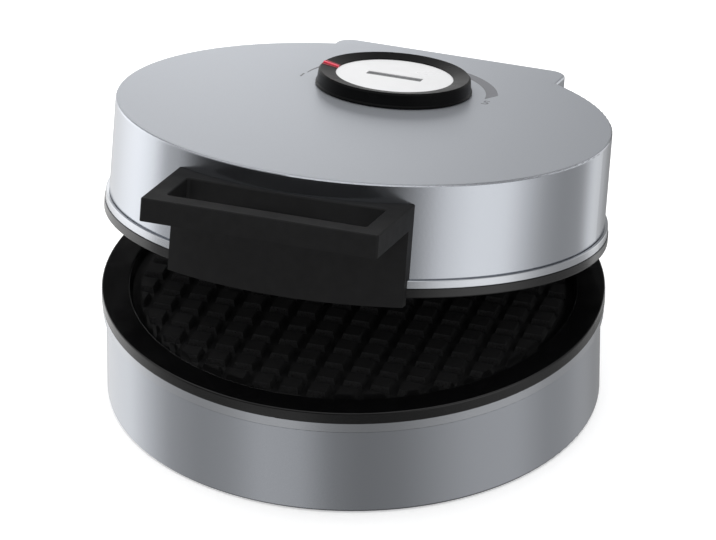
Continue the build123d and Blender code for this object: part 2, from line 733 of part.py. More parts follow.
with BuildPart() as lid_shell:
    with BuildSketch(Plane.XY.offset(lid_wall_z)):
        Circle(wall_r)
    extrude(amount=lid_wall_h)
    fillet(lid_shell.edges().group_by(Axis.Z)[-1], top_round)
    with BuildSketch(Plane.XY.offset(hood_bottom_z)):
        rear_outline(block_rear_y, block_half_w, block_corner_r)
    extrude(amount=hood_top_z - hood_bottom_z)
    hood_top = lid_shell.faces().filter_by(Axis.Z).sort_by(lambda f: abs(f.center().Z - hood_top_z))[0]
    fillet(hood_top.edges().filter_by(lambda e: e.center().Y > wall_r - block_corner_r), hood_round)
    # room for the rims and the trim ring, then the hollow of the lid and of its hood
    with BuildSketch(Plane.XY.offset(hood_bottom_z)):
        Circle(clear_r)
    extrude(amount=lid_wall_z - hood_bottom_z, mode=Mode.SUBTRACT)
    with BuildSketch(Plane.XZ):
        with BuildLine():
            Polyline(
                (0, lid_wall_z),
                (wall_in_r, lid_wall_z),
                *snap_profile(wall_in_r, lid_wall_z),
                (wall_in_r, lid_top_z - skin),
                (0, lid_top_z - skin),
                close=True,
            )
        make_face()
    revolve(axis=Axis.Z, mode=Mode.SUBTRACT)
    with BuildSketch(Plane.XY.offset(lid_wall_z + skin)):
        rear_outline(block_rear_y - skin, block_half_w - skin, block_corner_r - skin)
    extrude(amount=hood_top_z - lid_wall_z - 2 * skin, mode=Mode.SUBTRACT)
    with BuildSketch(Plane.XY.offset(hood_bottom_z + skin)):
        rear_outline(block_rear_y - skin, block_half_w - skin, block_corner_r - skin)
        Circle(clear_r + skin, mode=Mode.SUBTRACT)
    extrude(amount=lid_wall_z - hood_bottom_z, mode=Mode.SUBTRACT)
    # hinge
    knuckle_pair(lid_knuckle_in, lid_knuckle_out, knuckle_r)
    knuckle_pair(lid_knuckle_in, lid_knuckle_out, pin_d / 2 + pin_fit, Mode.SUBTRACT)
    knuckle_pair(lid_knuckle_out, base_knuckle_out + pin_head_t + knuckle_gap, pocket_r, Mode.SUBTRACT)
    # bosses of the thermostat bracket, hole for its spindle
    with BuildSketch(Plane.XY.offset(lid_top_z - skin)):
        with Locations((-bracket_boss_x, knob_y), (bracket_boss_x, knob_y)):
            Circle(bracket_boss_r)
    extrude(amount=-bracket_boss_h)
    with BuildSketch(Plane.XY.offset(lid_top_z - skin - bracket_boss_h)):
        with Locations((-bracket_boss_x, knob_y), (bracket_boss_x, knob_y)):
            Circle(small_screw_d / 2 + screw_fit)
    extrude(amount=bracket_boss_h, mode=Mode.SUBTRACT)
    with BuildSketch(Plane.XY.offset(lid_top_z)):
        with Locations((0, knob_y)):
            Circle(spindle_hole_r)
    extrude(amount=-skin, mode=Mode.SUBTRACT)
    # pads and holes of the handle screws
    with BuildSketch(Plane.XZ.offset(-handle_pad_y)):
        with Locations(*handle_screw_points):
            Circle(handle_pad_r)
    extrude(until=Until.NEXT)
    with BuildSketch(Plane.XZ.offset(-handle_pad_y)):
        with Locations(*handle_screw_points):
            Circle(handle_screw_d / 2 + 2 * screw_fit)
    extrude(amount=wall_r + handle_pad_y, mode=Mode.SUBTRACT)
lid_shell.part.label = "lid_shell"
lid_shell.part.move(lid_open)
export_step(lid_shell.part, "parts/lid_shell.step")

with BuildPart() as lid_frame:
    with BuildSketch(Plane.XZ):
        with BuildLine():
            Polyline(
                (post_circle_r - post_r, lid_wall_z),
                (bed_r - register_t, lid_wall_z),
                (bed_r - register_t, upper_face_z + flange_t + seat_gap),
                (bed_r, upper_face_z + flange_t + seat_gap),
                (bed_r, lid_trim_z),
                (trim_r, lid_trim_z),
                (trim_r, lid_groove_z),
                (wall_r - groove_in, lid_groove_z),
                (wall_r - groove_in, lid_wall_z),
                (register_r, lid_wall_z),
                *snap_profile(register_r, lid_wall_z),
                (register_r, lid_wall_z + register_h),
                (register_r - register_t, lid_wall_z + register_h),
                (register_r - register_t, lid_wall_z + frame_flange_t),
                (post_circle_r - post_r, lid_wall_z + frame_flange_t),
                close=True,
            )
        make_face()
    revolve(axis=Axis.Z)
    fillet(outer_rims(lid_frame), trim_round)
    with BuildSketch(Plane.XY.offset(lid_wall_z)):
        with Locations(*post_points):
            Circle(post_r)
    extrude(amount=upper_shield_z - lid_wall_z)
    with BuildSketch(Plane.XY.offset(lid_wall_z)):
        with Locations(*post_points):
            Circle(plate_screw_d / 2 + screw_fit)
    extrude(amount=upper_shield_z - lid_wall_z, mode=Mode.SUBTRACT)
lid_frame.part.label = "lid_frame"
lid_frame.part.move(lid_open)
export_step(lid_frame.part, "parts/lid_frame.step")

with BuildPart() as upper_plate:
    add(baking_plate(upper_face, upper_rim_h, upper_post_h).part)
    with BuildSketch(Plane.XY.offset(fuse_seat_z)):
        with Locations((fuse_boss_x, 0)):
            Circle(clamp_boss_r)
    extrude(amount=2 * fuse_r)
    with BuildSketch(Plane.XY.offset(fuse_top_z)):
        with Locations((fuse_boss_x, 0)):
            Circle(small_screw_d / 2 + screw_fit)
    extrude(amount=-2 * fuse_r, mode=Mode.SUBTRACT)
upper_plate.part.label = "upper_plate"
upper_plate.part.move(lid_open)
export_step(upper_plate.part, "parts/upper_plate.step")

upper_element = heating_element(upper_face)
upper_element.part.label = "upper_heating_element"
upper_element.part.move(lid_open)
export_step(upper_element.part, "parts/upper_heating_element.step")

upper_clamps = element_clamps(upper_face)
upper_clamps.part.label = "upper_element_clamps"
upper_clamps.part.move(lid_open)
export_step(upper_clamps.part, "parts/upper_element_clamps.step")

upper_clamp_screws = strap_screws(upper_face)
upper_clamp_screws.part.label = "upper_clamp_screws"
upper_clamp_screws.part.move(lid_open)
export_step(upper_clamp_screws.part, "parts/upper_clamp_screws.step")

upper_shield = heat_shield(upper_face)
upper_shield.part.label = "upper_heat_shield"
upper_shield.part.move(lid_open)
export_step(upper_shield.part, "parts/upper_heat_shield.step")

upper_plate_screws = screw_set(
    Plane.XY.offset(upper_shield_z + shield_t),
    post_points,
    plate_screw_d,
    upper_shield_z + shield_t - upper_face_z - pan_back,
)
upper_plate_screws.part.label = "upper_plate_screws"
upper_plate_screws.part.move(lid_open)
export_step(upper_plate_screws.part, "parts/upper_plate_screws.step")

with BuildPart() as thermal_fuse:
    with BuildSketch(Plane.XZ):
        with Locations((fuse_x, fuse_seat_z + fuse_r)):
            Circle(fuse_r)
    extrude(amount=fuse_l / 2, both=True)
    with BuildSketch(Plane.XZ):
        with Locations((fuse_x, fuse_seat_z + fuse_r)):
            Circle(fuse_lead_r)
    extrude(amount=fuse_l / 2 + fuse_lead_l, both=True)
thermal_fuse.part.label = "thermal_fuse"
thermal_fuse.part.move(lid_open)
export_step(thermal_fuse.part, "parts/thermal_fuse.step")

with BuildPart() as fuse_clip:
    clip_l = fuse_boss_x - fuse_x + fuse_r + clamp_boss_r
    with BuildSketch(Plane.XY.offset(fuse_top_z)):
        with Locations((fuse_x - fuse_r + clip_l / 2, 0)):
            RectangleRounded(clip_l, fuse_clip_w, 1.5)
        with Locations((fuse_boss_x, 0)):
            Circle(small_screw_d / 2 + screw_fit, mode=Mode.SUBTRACT)
    extrude(amount=fuse_clip_t)
fuse_clip.part.label = "fuse_clip"
fuse_clip.part.move(lid_open)
export_step(fuse_clip.part, "parts/fuse_clip.step")

fuse_screw = screw_set(
    Plane.XY.offset(fuse_top_z + fuse_clip_t),
    [(fuse_boss_x, 0)],
    small_screw_d,
    fuse_clip_t + 2 * fuse_r,
)
fuse_screw.part.label = "fuse_screw"
fuse_screw.part.move(lid_open)
export_step(fuse_screw.part, "parts/fuse_screw.step")

# ---------------------------------------------------------------- handle
with BuildPart() as handle:
    with BuildSketch(Plane.XY.offset(handle_top_z)):
        with Locations((0, (handle_front_y + handle_root_y) / 2)):
            loop = Rectangle(2 * handle_half_w, handle_root_y - handle_front_y)
        fillet(loop.vertices().group_by(Axis.Y)[0], handle_corner_r)
    extrude(amount=-handle_bar_h)
    with BuildSketch(Plane.XY.offset(handle_top_z)):
        with BuildLine():
            left_end = (-handle_half_w, apron_end_y)
            right_end = (handle_half_w, apron_end_y)
            ThreePointArc(left_end, (0, -apron_r), right_end)
            Polyline(
                right_end, (handle_half_w, handle_root_y), (-handle_half_w, handle_root_y), left_end
            )
        make_face()
    extrude(amount=apron_bottom_z - handle_top_z)
    with BuildSketch(Plane.XY.offset(handle_top_z)):
        with BuildLine():
            half = handle_half_w - handle_arm_w
            front = handle_front_y + handle_bar_w
            Polyline((-half, handle_back_y), (-half, front), (half, front), (half, handle_back_y))
            ThreePointArc(
                (half, handle_back_y), (0, handle_back_y - finger_bow), (-half, handle_back_y)
            )
        opening = make_face()
        fillet(opening.vertices(), finger_corner_r)
    extrude(amount=-handle_bar_h, mode=Mode.SUBTRACT)
    fillet(handle.edges().group_by(Axis.Z)[-1], handle_round)
    with BuildSketch(Plane.XY.offset(handle_top_z)):
        Circle(wall_r + seat_gap / 2)
    extrude(amount=-(handle_top_z - apron_bottom_z), mode=Mode.SUBTRACT)
    with BuildSketch(Plane.XY.offset(lid_wall_z)):
        Circle(clear_r)
    extrude(amount=-(lid_wall_z - apron_bottom_z), mode=Mode.SUBTRACT)
    with BuildSketch(Plane.XZ.offset(-handle_pad_y)):
        with Locations(*handle_screw_points):
            Circle(handle_screw_d / 2 + screw_fit)
    extrude(amount=-handle_back_y + handle_pad_y - 1.5, mode=Mode.SUBTRACT)
handle.part.label = "handle"
handle.part.move(lid_open)
export_step(handle.part, "parts/handle.step")

handle_seat = Plane(origin=(0, handle_pad_y, 0), x_dir=(-1, 0, 0), z_dir=(0, 1, 0))
handle_screws = screw_set(
    handle_seat,
    [(-x, z) for x, z in handle_screw_points],
    handle_screw_d,
    handle_pad_y - handle_back_y - 2.5,
)
handle_screws.part.label = "handle_screws"
handle_screws.part.move(lid_open)
export_step(handle_screws.part, "parts/handle_screws.step")

# ---------------------------------------------------------------- thermostat, drawn closed
bracket_z = lid_top_z - skin - bracket_boss_h
bracket_points = [(-bracket_boss_x, knob_y), (bracket_boss_x, knob_y)]

with BuildPart() as thermostat_bracket:
    with BuildSketch(Plane.XY.offset(bracket_z)):
        with Locations((0, knob_y)):
            RectangleRounded(2 * bracket_half_w, bracket_d, 3)
            Circle(bush_r + seat_gap, mode=Mode.SUBTRACT)
        with Locations(*bracket_points):
            Circle(small_screw_d / 2 + screw_fit, mode=Mode.SUBTRACT)
    extrude(amount=-bracket_t)
thermostat_bracket.part.label = "thermostat_bracket"
thermostat_bracket.part.move(lid_open)
export_step(thermostat_bracket.part, "parts/thermostat_bracket.step")

with BuildPart() as thermostat:
    with BuildSketch(Plane.XY.offset(bracket_z - bracket_t)):
        with Locations((0, knob_y)):
            RectangleRounded(thermostat_w, thermostat_d, 2)
    extrude(amount=-thermostat_h)
    with BuildSketch(Plane.XY.offset(bracket_z - bracket_t)):
        with Locations((0, knob_y)):
            Circle(bush_r)
    extrude(amount=bush_h)
    with BuildSketch(Plane.XY.offset(bracket_z - bracket_t + bush_h)):
        with Locations((0, knob_y)):
            Circle(spindle_r + spindle_play)
    extrude(amount=-(bush_h + thermostat_h - skin), mode=Mode.SUBTRACT)
thermostat.part.label = "thermostat_body"
thermostat.part.move(lid_open)
export_step(thermostat.part, "parts/thermostat_body.step")

under_bracket = Plane(origin=(0, 0, bracket_z - bracket_t), x_dir=(1, 0, 0), z_dir=(0, 0, -1))
thermostat_screws = screw_set(
    under_bracket,
    [(x, -y) for x, y in bracket_points],
    small_screw_d,
    bracket_t + bracket_boss_h - 0.5,
)
thermostat_screws.part.label = "thermostat_screws"
thermostat_screws.part.move(lid_open)
export_step(thermostat_screws.part, "parts/thermostat_screws.step")

# ---------------------------------------------------------------- knob, drawn closed
insert_z = knob_h - knob_dish
web_z = insert_z - insert_t
knob_section = Plane(origin=(0, knob_y, lid_top_z), x_dir=(1, 0, 0), z_dir=(0, -1, 0))


def pointer_section(turn):
    """Plane through the knob's axis in the direction of the pointer, turned a little further."""
    angle = radians(knob_rest_angle + turn)
    return Plane(
        origin=(0, knob_y, lid_top_z),
        x_dir=(cos(angle), sin(angle), 0),
        z_dir=(sin(angle), -cos(angle), 0),
    )


def pointer_profile(stand):
    """Strip along the sloping top of the ring."""
    with BuildLine() as outline:
        Polyline(
            (knob_eye_r, insert_z + marker_sink - pointer_t),
            (knob_top_r - knob_bevel, knob_h - pointer_t),
            (knob_top_r - knob_bevel, knob_h + stand),
            (knob_eye_r, insert_z + marker_sink + stand),
            close=True,
        )
    make_face(outline.edges())


def spindle_section(radius, flat):
    """Round section with one flat."""
    Circle(radius)
    with Locations((0, radius - flat / 2)):
        Rectangle(2 * radius, flat, mode=Mode.SUBTRACT)


with BuildPart() as knob_ring:
    with BuildSketch(knob_section):
        with BuildLine():
            Polyline(
                (0, knob_lift),
                (hub_r, knob_lift),
                (hub_r, web_z - knob_skin),
                (knob_side_r - knob_skin, web_z - knob_skin),
                (knob_side_r - knob_skin, knob_lift),
                (knob_flange_r, knob_lift),
                (knob_flange_r, knob_lift + knob_flange_h / 2),
                (knob_side_r, knob_lift + knob_flange_h),
                (knob_top_r, knob_h - knob_bevel),
                (knob_top_r - knob_bevel, knob_h),
                (knob_eye_r, insert_z + marker_sink),
                (knob_eye_r, web_z),
                (0, web_z),
                close=True,
            )
        make_face()
    revolve(axis=knob_axis)
    with BuildSketch(pointer_section(-pointer_arc / 2)):
        pointer_profile(knob_bevel)
    revolve(axis=knob_axis, revolution_arc=pointer_arc, mode=Mode.SUBTRACT)
    with BuildSketch(Plane.XY.offset(lid_top_z + knob_lift)):
        with Locations((0, knob_y)):
            spindle_section(spindle_r + screw_fit, spindle_flat)
    extrude(amount=web_z - knob_lift - 0.5, mode=Mode.SUBTRACT)
knob_ring.part.label = "knob_ring"
knob_ring.part.move(lid_open)
export_step(knob_ring.part, "parts/knob_ring.step")

with BuildPart() as knob_insert:
    with BuildSketch(Plane.XY.offset(lid_top_z + web_z)):
        with Locations((0, knob_y)):
            Circle(knob_eye_r - seat_gap / 2)
        with Locations(Location((0, knob_y), knob_rest_angle)):
            Rectangle(marker_l + seat_gap, marker_w + seat_gap, mode=Mode.SUBTRACT)
    extrude(amount=insert_t)
knob_insert.part.label = "knob_insert"
knob_insert.part.move(lid_open)
export_step(knob_insert.part, "parts/knob_insert.step")

with BuildPart() as knob_marker:
    with BuildSketch(Plane.XY.offset(lid_top_z + web_z)):
        with Locations(Location((0, knob_y), knob_rest_angle)):
            Rectangle(marker_l, marker_w)
    extrude(amount=insert_t - marker_sink)
knob_marker.part.label = "knob_marker"
knob_marker.part.move(lid_open)
export_step(knob_marker.part, "parts/knob_marker.step")

with BuildPart() as knob_pointer:
    for arc, stand in ((pointer_arc, pointer_stand), (pointer_rib_arc, pointer_rib_h)):
        with BuildSketch(pointer_section(-arc / 2)):
            pointer_profile(stand)
        revolve(axis=knob_axis, revolution_arc=arc)
knob_pointer.part.label = "knob_pointer"
knob_pointer.part.move(lid_open)
export_step(knob_pointer.part, "parts/knob_pointer.step")

with BuildPart() as spindle:
    spindle_low_z = bracket_z - bracket_t - thermostat_h + skin + 0.3
    with BuildSketch(Plane.XY.offset(spindle_low_z)):
        with Locations((0, knob_y)):
            Circle(spindle_r)
    extrude(amount=lid_top_z + knob_lift - spindle_low_z)
    with BuildSketch(Plane.XY.offset(lid_top_z + knob_lift)):
        with Locations((0, knob_y)):
            spindle_section(spindle_r, spindle_flat)
    extrude(amount=web_z - knob_lift - 1.0)
spindle.part.label = "thermostat_spindle"
spindle.part.move(lid_open)
export_step(spindle.part, "parts/thermostat_spindle.step")
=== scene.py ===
import json
import math

import bmesh
import bpy
from mathutils import Matrix, Vector


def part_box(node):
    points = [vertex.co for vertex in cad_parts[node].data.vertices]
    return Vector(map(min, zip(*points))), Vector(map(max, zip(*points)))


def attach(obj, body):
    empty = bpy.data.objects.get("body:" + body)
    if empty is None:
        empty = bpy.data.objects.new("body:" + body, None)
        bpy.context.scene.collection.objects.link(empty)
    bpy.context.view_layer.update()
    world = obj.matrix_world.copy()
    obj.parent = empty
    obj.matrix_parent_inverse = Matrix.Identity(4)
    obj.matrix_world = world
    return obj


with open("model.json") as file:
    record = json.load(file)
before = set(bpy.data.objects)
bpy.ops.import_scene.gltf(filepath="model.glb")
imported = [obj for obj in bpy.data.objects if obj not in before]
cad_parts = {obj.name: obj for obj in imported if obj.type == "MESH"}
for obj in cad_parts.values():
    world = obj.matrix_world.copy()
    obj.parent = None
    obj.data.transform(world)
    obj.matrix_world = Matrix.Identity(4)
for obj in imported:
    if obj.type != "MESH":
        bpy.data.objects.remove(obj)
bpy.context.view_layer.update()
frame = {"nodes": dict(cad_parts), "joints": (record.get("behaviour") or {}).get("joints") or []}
nodes = frame["nodes"]
joints = {joint["name"]: joint for joint in frame["joints"]}

# ---------------------------------------------------------------- places, from the frame
MM = 0.001
X_AXIS = Vector((1, 0, 0))

hinge = Vector(joints["lid_hinge"]["pos_m"])
ajar = -math.radians(joints["lid_hinge"]["range_deg"][0])
SHUT_TO_AJAR = (
    Matrix.Translation(hinge)
    @ Matrix.Rotation(ajar, 4, Vector(joints["lid_hinge"]["axis"]))
    @ Matrix.Translation(-hinge)
)

plate_low, plate_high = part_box("lower_plate")
LOWER_MIDDLE = (plate_low + plate_high) / 2
LOWER_MIDDLE.z = hinge.z
UPPER_MIDDLE = SHUT_TO_AJAR @ LOWER_MIDDLE

LID_UP = -Vector(joints["knob_turn"]["axis"]).normalized()
LID_BACK = LID_UP.cross(X_AXIS)
DIAL = Vector(joints["knob_turn"]["pos_m"])


def placed(x_axis, y_axis, z_axis, place):
    """Matrix of an object with those axes at that place."""
    return Matrix.Translation(place) @ Matrix((x_axis, y_axis, z_axis)).transposed().to_4x4()


ON_DIAL = placed(X_AXIS, LID_BACK, LID_UP, DIAL) @ Matrix.Scale(MM, 4)

# Sizes in millimetres.
FIELD_R = 94.5      # stud field of a plate
FIELD_FADE = 1.0    # the field's grey fades out this far either side of its edge
RIB_HIGHLIGHT_W = 1.5         # width of the painted highlight, a brighter red, along the red pointer's rib


# ---------------------------------------------------------------- materials
def math_node(tree, operation, first, second=None, third=None):
    """A Math node. Each value is a number or the socket that gives it."""
    node = tree.nodes.new("ShaderNodeMath")
    node.operation = operation
    for socket, value in zip(node.inputs, (first, second, third)):
        if isinstance(value, (int, float)):
            socket.default_value = value
        elif value is not None:
            tree.links.new(value, socket)
    return node.outputs[0]


def vector_node(tree, operation, first, second):
    """A Vector Math node between a socket and a fixed vector."""
    node = tree.nodes.new("ShaderNodeVectorMath")
    node.operation = operation
    tree.links.new(first, node.inputs[0])
    node.inputs[1].default_value = second
    return node.outputs


class Shader:
    """A Principled material and the nodes that feed it."""

    def __init__(self, name, color, metallic=0.0, roughness=0.5, **sockets):
        self.material = bpy.data.materials.new(name)
        self.material.use_nodes = True
        self.tree = self.material.node_tree
        self.bsdf = self.tree.nodes["Principled BSDF"]
        self.color = color
        self.roughness = roughness
        self.set("Base Color", (*color, 1))
        self.set("Metallic", metallic)
        self.set("Roughness", roughness)
        for socket, value in sockets.items():
            self.set(socket.replace("_", " "), value)
        where = self.tree.nodes.new("ShaderNodeTexCoord")
        self.place, self.normal = where.outputs["Object"], where.outputs["Normal"]
        self.bumps = None

    def set(self, socket, value):
        self.bsdf.inputs[socket].default_value = value

    def feed(self, socket, value):
        self.tree.links.new(value, self.bsdf.inputs[socket])
        return self

    def noise(self, size, detail=3.0, stretch=(1, 1, 1)):
        """Noise whose grains are about size millimetres across."""
        mapping = self.tree.nodes.new("ShaderNodeMapping")
        mapping.inputs["Scale"].default_value = [1 / (size * MM * s) for s in stretch]
        self.tree.links.new(self.place, mapping.inputs["Vector"])
        noise = self.tree.nodes.new("ShaderNodeTexNoise")
        noise.inputs["Scale"].default_value = 1.0
        noise.inputs["Detail"].default_value = detail
        self.tree.links.new(mapping.outputs["Vector"], noise.inputs["Vector"])
        return noise.outputs["Fac"]

    def along(self, axis, origin):
        """Distance in metres from a point, along a direction."""
        offset = vector_node(self.tree, "SUBTRACT", self.place, origin)["Vector"]
        return vector_node(self.tree, "DOT_PRODUCT", offset, axis)["Value"]

    def away(self, point):
        """Distance in metres from a point."""
        return vector_node(self.tree, "DISTANCE", self.place, point)["Value"]

    def facing(self, axis):
        """How squarely the surface faces a direction, from -1 to 1."""
        return vector_node(self.tree, "DOT_PRODUCT", self.normal, axis)["Value"]

    def spread(self, factor, low, high, start=0.3, end=0.7):
        """A value from low to high while the factor goes from start to end."""
        ramp = self.tree.nodes.new("ShaderNodeMapRange")
        ramp.inputs["From Min"].default_value = start
        ramp.inputs["From Max"].default_value = end
        ramp.inputs["To Min"].default_value = low
        ramp.inputs["To Max"].default_value = high
        self.tree.links.new(factor, ramp.inputs["Value"])
        return ramp.outputs["Result"]

    def vary_roughness(self, factor, amount):
        return self.feed("Roughness", self.spread(factor, self.roughness - amount, self.roughness + amount))

    def vary_color(self, factor, other, start=0.3, end=0.7):
        """The shader's colour up to start, another from end on."""
        ramp = self.tree.nodes.new("ShaderNodeValToRGB")
        for element, position, color in zip(ramp.color_ramp.elements, (start, end), (self.color, other)):
            element.position = position
            element.color = (*color, 1)
        self.tree.links.new(factor, ramp.inputs["Fac"])
        return self.feed("Base Color", ramp.outputs["Color"])

    def bump(self, factor, height):
        """Bump of a height in millimetres, on top of any earlier one."""
        bump = self.tree.nodes.new("ShaderNodeBump")
        bump.inputs["Distance"].default_value = height * MM
        bump.inputs["Strength"].default_value = 1.0
        self.tree.links.new(factor, bump.inputs["Height"])
        if self.bumps:
            self.tree.links.new(self.bumps, bump.inputs["Normal"])
        self.bumps = bump.outputs["Normal"]
        return self.feed("Normal", self.bumps)


def silver(name, color, roughness):
    """Silver lacquer: fine flake and a slight orange peel."""
    s = Shader(name, color, metallic=1.0, roughness=roughness)
    s.vary_color(s.noise(0.35, 2), tuple(c * 0.94 for c in color))
    s.vary_roughness(s.noise(30, 4), 0.03)
    s.bump(s.noise(1.4, 2), 0.012)
    return s


def housing_silver():
    """The lacquer, duller and more milky on the flat top of the lid than on the walls."""
    s = silver("housing_silver", (0.56, 0.585, 0.63), 0.2)
    level = s.facing(LID_UP)
    s.feed("Roughness", s.spread(level, 0.2, 0.42, 0.6, 0.97))
    s.feed("Metallic", s.spread(level, 1.0, 0.75, 0.6, 0.97))
    return s.material


def pointer_red():
    """Dark red strip whose middle, over its rib, is painted a brighter red as a painted highlight."""
    s = Shader("pointer_red", (0.22, 0.004, 0.014), roughness=0.35, Specular_IOR_Level=0.3)
    # The brighter red along the middle of the strip is a painted highlight on the rib.
    rib_highlight = math_node(s.tree, "COMPARE", s.along(LID_BACK, DIAL), 0.0, RIB_HIGHLIGHT_W / 2 * MM)
    s.vary_color(rib_highlight, (0.8, 0.07, 0.12), 0.0, 1.0)
    s.bump(s.noise(0.5, 2), 0.006)
    return s.material


def plastic(name, color, roughness, grain=0.5, depth=0.02, other=None, **sockets):
    """Moulded plastic with a fine grain."""
    s = Shader(name, color, roughness=roughness, **sockets)
    s.vary_color(s.noise(grain * 8, 3), other or tuple(c * 0.85 for c in color))
    s.vary_roughness(s.noise(grain * 20, 3), 0.04)
    s.bump(s.noise(grain, 2), depth)
    return s.material


def sheet_metal(name, color, roughness, stretch=(12, 1, 1)):
    """Bare metal, with marks drawn out along one direction unless the stretch is even."""
    s = Shader(name, color, metallic=1.0, roughness=roughness)
    s.vary_color(s.noise(0.6, 4, stretch), tuple(c * 0.82 for c in color))
    s.vary_roughness(s.noise(6, 4), 0.08)
    s.bump(s.noise(0.5, 3, stretch), 0.01)
    return s.material


def nonstick(name, middle):
    """Black coat on a cast plate: glossy, faintly pebbled, a little greyer on the stud field."""
    s = Shader(name, (0.001, 0.001, 0.0012), roughness=0.16, Specular_IOR_Level=0.5)
    edge = ((FIELD_R - FIELD_FADE) * MM, (FIELD_R + FIELD_FADE) * MM)
    on_field = s.spread(s.away(middle), 1.0, 0.1, *edge)
    mottled = s.spread(s.noise(0.8, 2), 0.5, 1.0)
    s.vary_color(math_node(s.tree, "MULTIPLY", on_field, mottled), (0.024, 0.024, 0.0245), 0.0, 1.0)
    s.vary_roughness(s.noise(14, 4), 0.06)
    s.bump(s.noise(0.9, 3), 0.03)
    return s.material


MATERIALS = {
    "housing": housing_silver(),
    "trim": silver("trim_silver", (0.6, 0.62, 0.655), 0.22).material,
    "lower_coat": nonstick("nonstick_lower", LOWER_MIDDLE),
    "upper_coat": nonstick("nonstick_upper", UPPER_MIDDLE),
    "handle": plastic("handle_black", (0.0115, 0.0115, 0.0119), 0.6, 0.6, 0.03, Specular_IOR_Level=0.1),
    "knob": plastic("knob_black", (0.003, 0.003, 0.0033), 0.3, 0.5, 0.012, Specular_IOR_Level=0.06),
    "insert": plastic("insert_white", (0.68, 0.682, 0.69), 0.3, 1.0, 0.006, (0.66, 0.662, 0.67)),
    "marker": plastic("marker_grey", (0.11, 0.115, 0.12), 0.4, 0.5, 0.01),
    "ink": plastic("ink_grey", (0.175, 0.178, 0.194), 0.45, 0.4, 0.004, Specular_IOR_Level=0.25),
    "pointer": pointer_red(),
    "rubber": plastic("black_rubber", (0.018, 0.018, 0.018), 0.7, 0.8, 0.04),
    "ivory": plastic("ivory_ceramic", (0.72, 0.67, 0.52), 0.55, 0.8, 0.02),
    "black": plastic("black_plastic", (0.015, 0.015, 0.015), 0.5, 0.6, 0.02),
    "sheath": sheet_metal("element_sheath", (0.3, 0.26, 0.22), 0.45),
    "shield": sheet_metal("shield_sheet", (0.72, 0.73, 0.74), 0.35),
    "zinc": sheet_metal("zinc_steel", (0.6, 0.61, 0.63), 0.3, (1, 1, 1)),
}

# Nodes that aren't named here are zinc-plated steel.
NODE_MATERIALS = {
    "housing": ["base_shell", "lid_shell"],
    "trim": ["base_trim_ring", "lid_frame"],
    "lower_coat": ["lower_plate"],
    "upper_coat": ["upper_plate"],
    "handle": ["handle"],
    "knob": ["knob_ring"],
    "insert": ["knob_insert"],
    "marker": ["knob_marker"],
    "pointer": ["knob_pointer"],
    "rubber": ["rubber_feet", "cord_inlet_bush"],
    "ivory": ["thermostat_body", "terminal_block"],
    "black": ["cord_clamp"],
    "sheath": ["lower_heating_element", "upper_heating_element"],
    "shield": ["lower_heat_shield", "upper_heat_shield"],
}
chosen = {node: key for key, names in NODE_MATERIALS.items() for node in names}
for node, obj in nodes.items():
    obj.data.materials.clear()
    obj.data.materials.append(MATERIALS[chosen.get(node, "zinc")])


# ---------------------------------------------------------------- print on the dial
# Millimetres and degrees about the knob's axis, with 0 degrees at the right.
INK_H = 0.04
CRESCENT_R = 41.3               # its inner edge
CRESCENT_THIN, CRESCENT_WIDE = 0.5, 5.4
CRESCENT_START = 176.0
CRESCENT_INNER_END, CRESCENT_OUTER_END = 6.3, 15.7
FULL_WIDTH_AT = 1 / 1.35        # share of its length where it has its full width
CRESCENT_STEPS = 96
NUMBER_SIZE = 8.0
NUMBER_PLACES = {"1": (-42.3, -2.3), "5": (43.2, -1.0)}


def link(name, data, place):
    """A new object in the scene, at that place."""
    obj = bpy.data.objects.new(name, data)
    obj.matrix_world = place
    bpy.context.scene.collection.objects.link(obj)
    return obj


def mesh_from(name, bm):
    mesh = bpy.data.meshes.new(name)
    bm.to_mesh(mesh)
    bm.free()
    return mesh


def print_on_lid(name, data, height):
    """A piece of ink drawn in millimetres about the dial, which rides on the lid."""
    piece = link(name, data, ON_DIAL @ Matrix.Translation(height))
    data.materials.append(MATERIALS["ink"])
    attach(piece, "lid")


def flat_shape(name, outline, height):
    """Mesh of a flat shape of that height, from its outline in order."""
    bm = bmesh.new()
    face = bm.faces.new([bm.verts.new((x, y, 0)) for x, y in outline])
    if face.normal.z < 0:
        face.normal_flip()
    raised = bmesh.ops.extrude_face_region(bm, geom=[face])["geom"]
    top = [part for part in raised if isinstance(part, bmesh.types.BMVert)]
    bmesh.ops.translate(bm, vec=(0, 0, height), verts=top)
    bmesh.ops.recalc_face_normals(bm, faces=bm.faces)
    return mesh_from(name, bm)


def polar(radius, degrees):
    return (radius * math.cos(math.radians(degrees)), radius * math.sin(math.radians(degrees)))


def dial_crescent():
    """Heat scale round the back of the knob, widening from the lowest setting to the highest."""
    inner, outer = [], []
    for i in range(CRESCENT_STEPS + 1):
        share = i / CRESCENT_STEPS
        width = CRESCENT_THIN + (CRESCENT_WIDE - CRESCENT_THIN) * min(1, share / FULL_WIDTH_AT)
        inner.append(polar(CRESCENT_R, CRESCENT_START + (CRESCENT_INNER_END - CRESCENT_START) * share))
        outer.append(
            polar(CRESCENT_R + width, CRESCENT_START + (CRESCENT_OUTER_END - CRESCENT_START) * share)
        )
    mesh = flat_shape("dial_crescent", inner + outer[::-1], INK_H)
    print_on_lid("dial_crescent", mesh, (0, 0, 0))


def dial_number(text, x, y):
    """Plain number at an end of the scale."""
    curve = bpy.data.curves.new("dial_number_" + text, "FONT")
    curve.body = text
    curve.size = NUMBER_SIZE
    curve.align_x = "CENTER"
    curve.align_y = "CENTER"
    curve.extrude = INK_H / 2
    print_on_lid("dial_number_" + text, curve, (x, y, INK_H / 2))


dial_crescent()
for number, (number_x, number_y) in NUMBER_PLACES.items():
    dial_number(number, number_x, number_y)


# ---------------------------------------------------------------- floor
def grid_mesh(name, size):
    """One square face. The size is half its side."""
    bm = bmesh.new()
    bmesh.ops.create_grid(bm, x_segments=1, y_segments=1, size=size)
    return mesh_from(name, bm)


